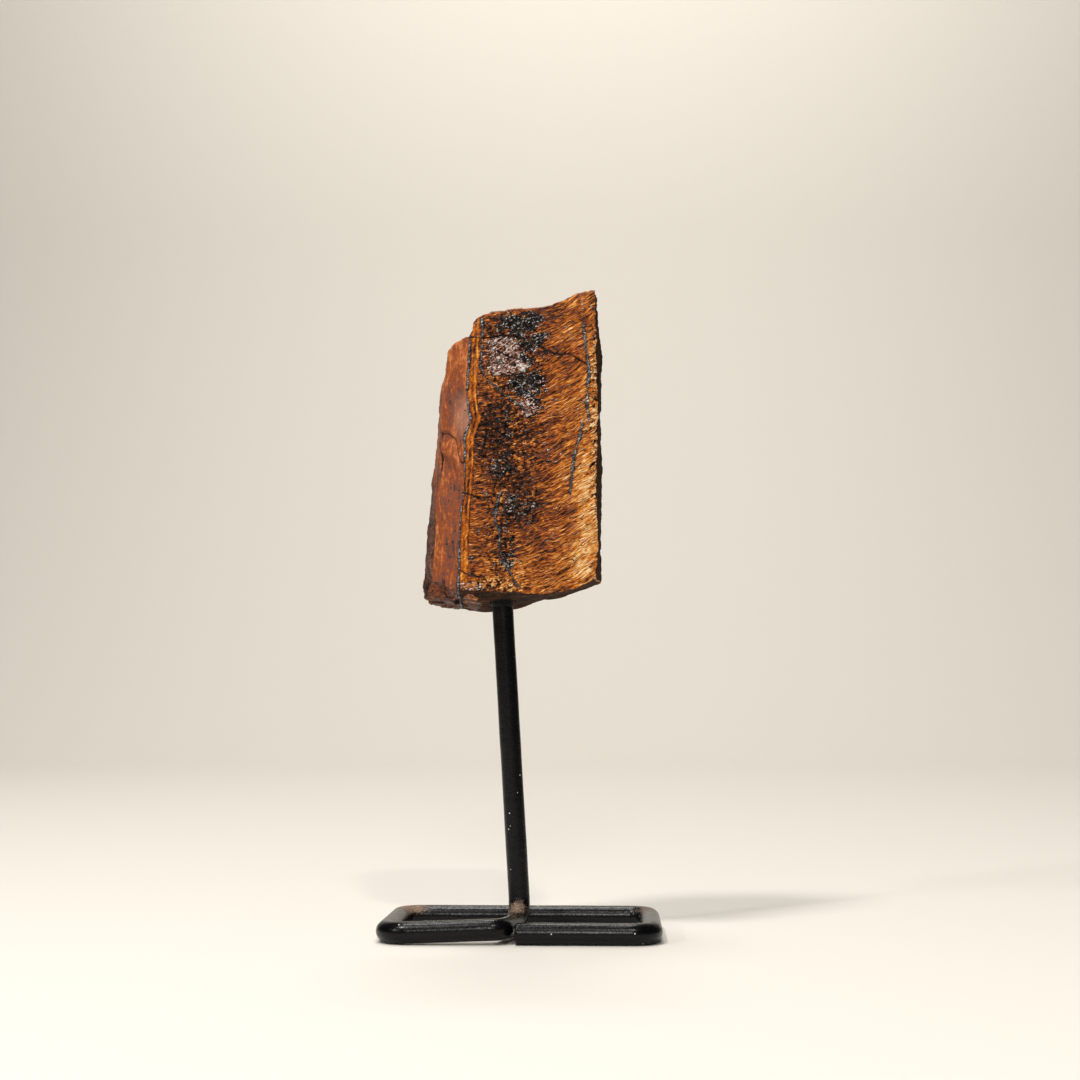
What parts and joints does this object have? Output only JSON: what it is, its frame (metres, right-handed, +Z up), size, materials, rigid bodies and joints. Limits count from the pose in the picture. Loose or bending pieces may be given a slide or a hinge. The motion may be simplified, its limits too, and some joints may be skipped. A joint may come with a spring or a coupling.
{
  "type": "rough tiger's eye on a bent rod stand",
  "caption": "Upright rough block of banded golden brown tiger's eye, glued on the leaning post of a black bent rod stand with an open rectangular foot.",
  "frame": {"origin": "on the surface it stands on, below the middle of the rectangular foot", "axes": "+X to the right along the foot's long side, +Y to the back, +Z up; the stone's widest face looks to -Y"},
  "size_m": [0.0645, 0.0393, 0.1484],
  "materials": {
    "tigers_eye": "satin",
    "black_paint": "satin",
    "dark_glue": "satin"
  },
  "bodies": {
    "root": {"stone": "tigers_eye", "stand": "black_paint", "glue_collar": "dark_glue"}
  },
  "joints": []
}
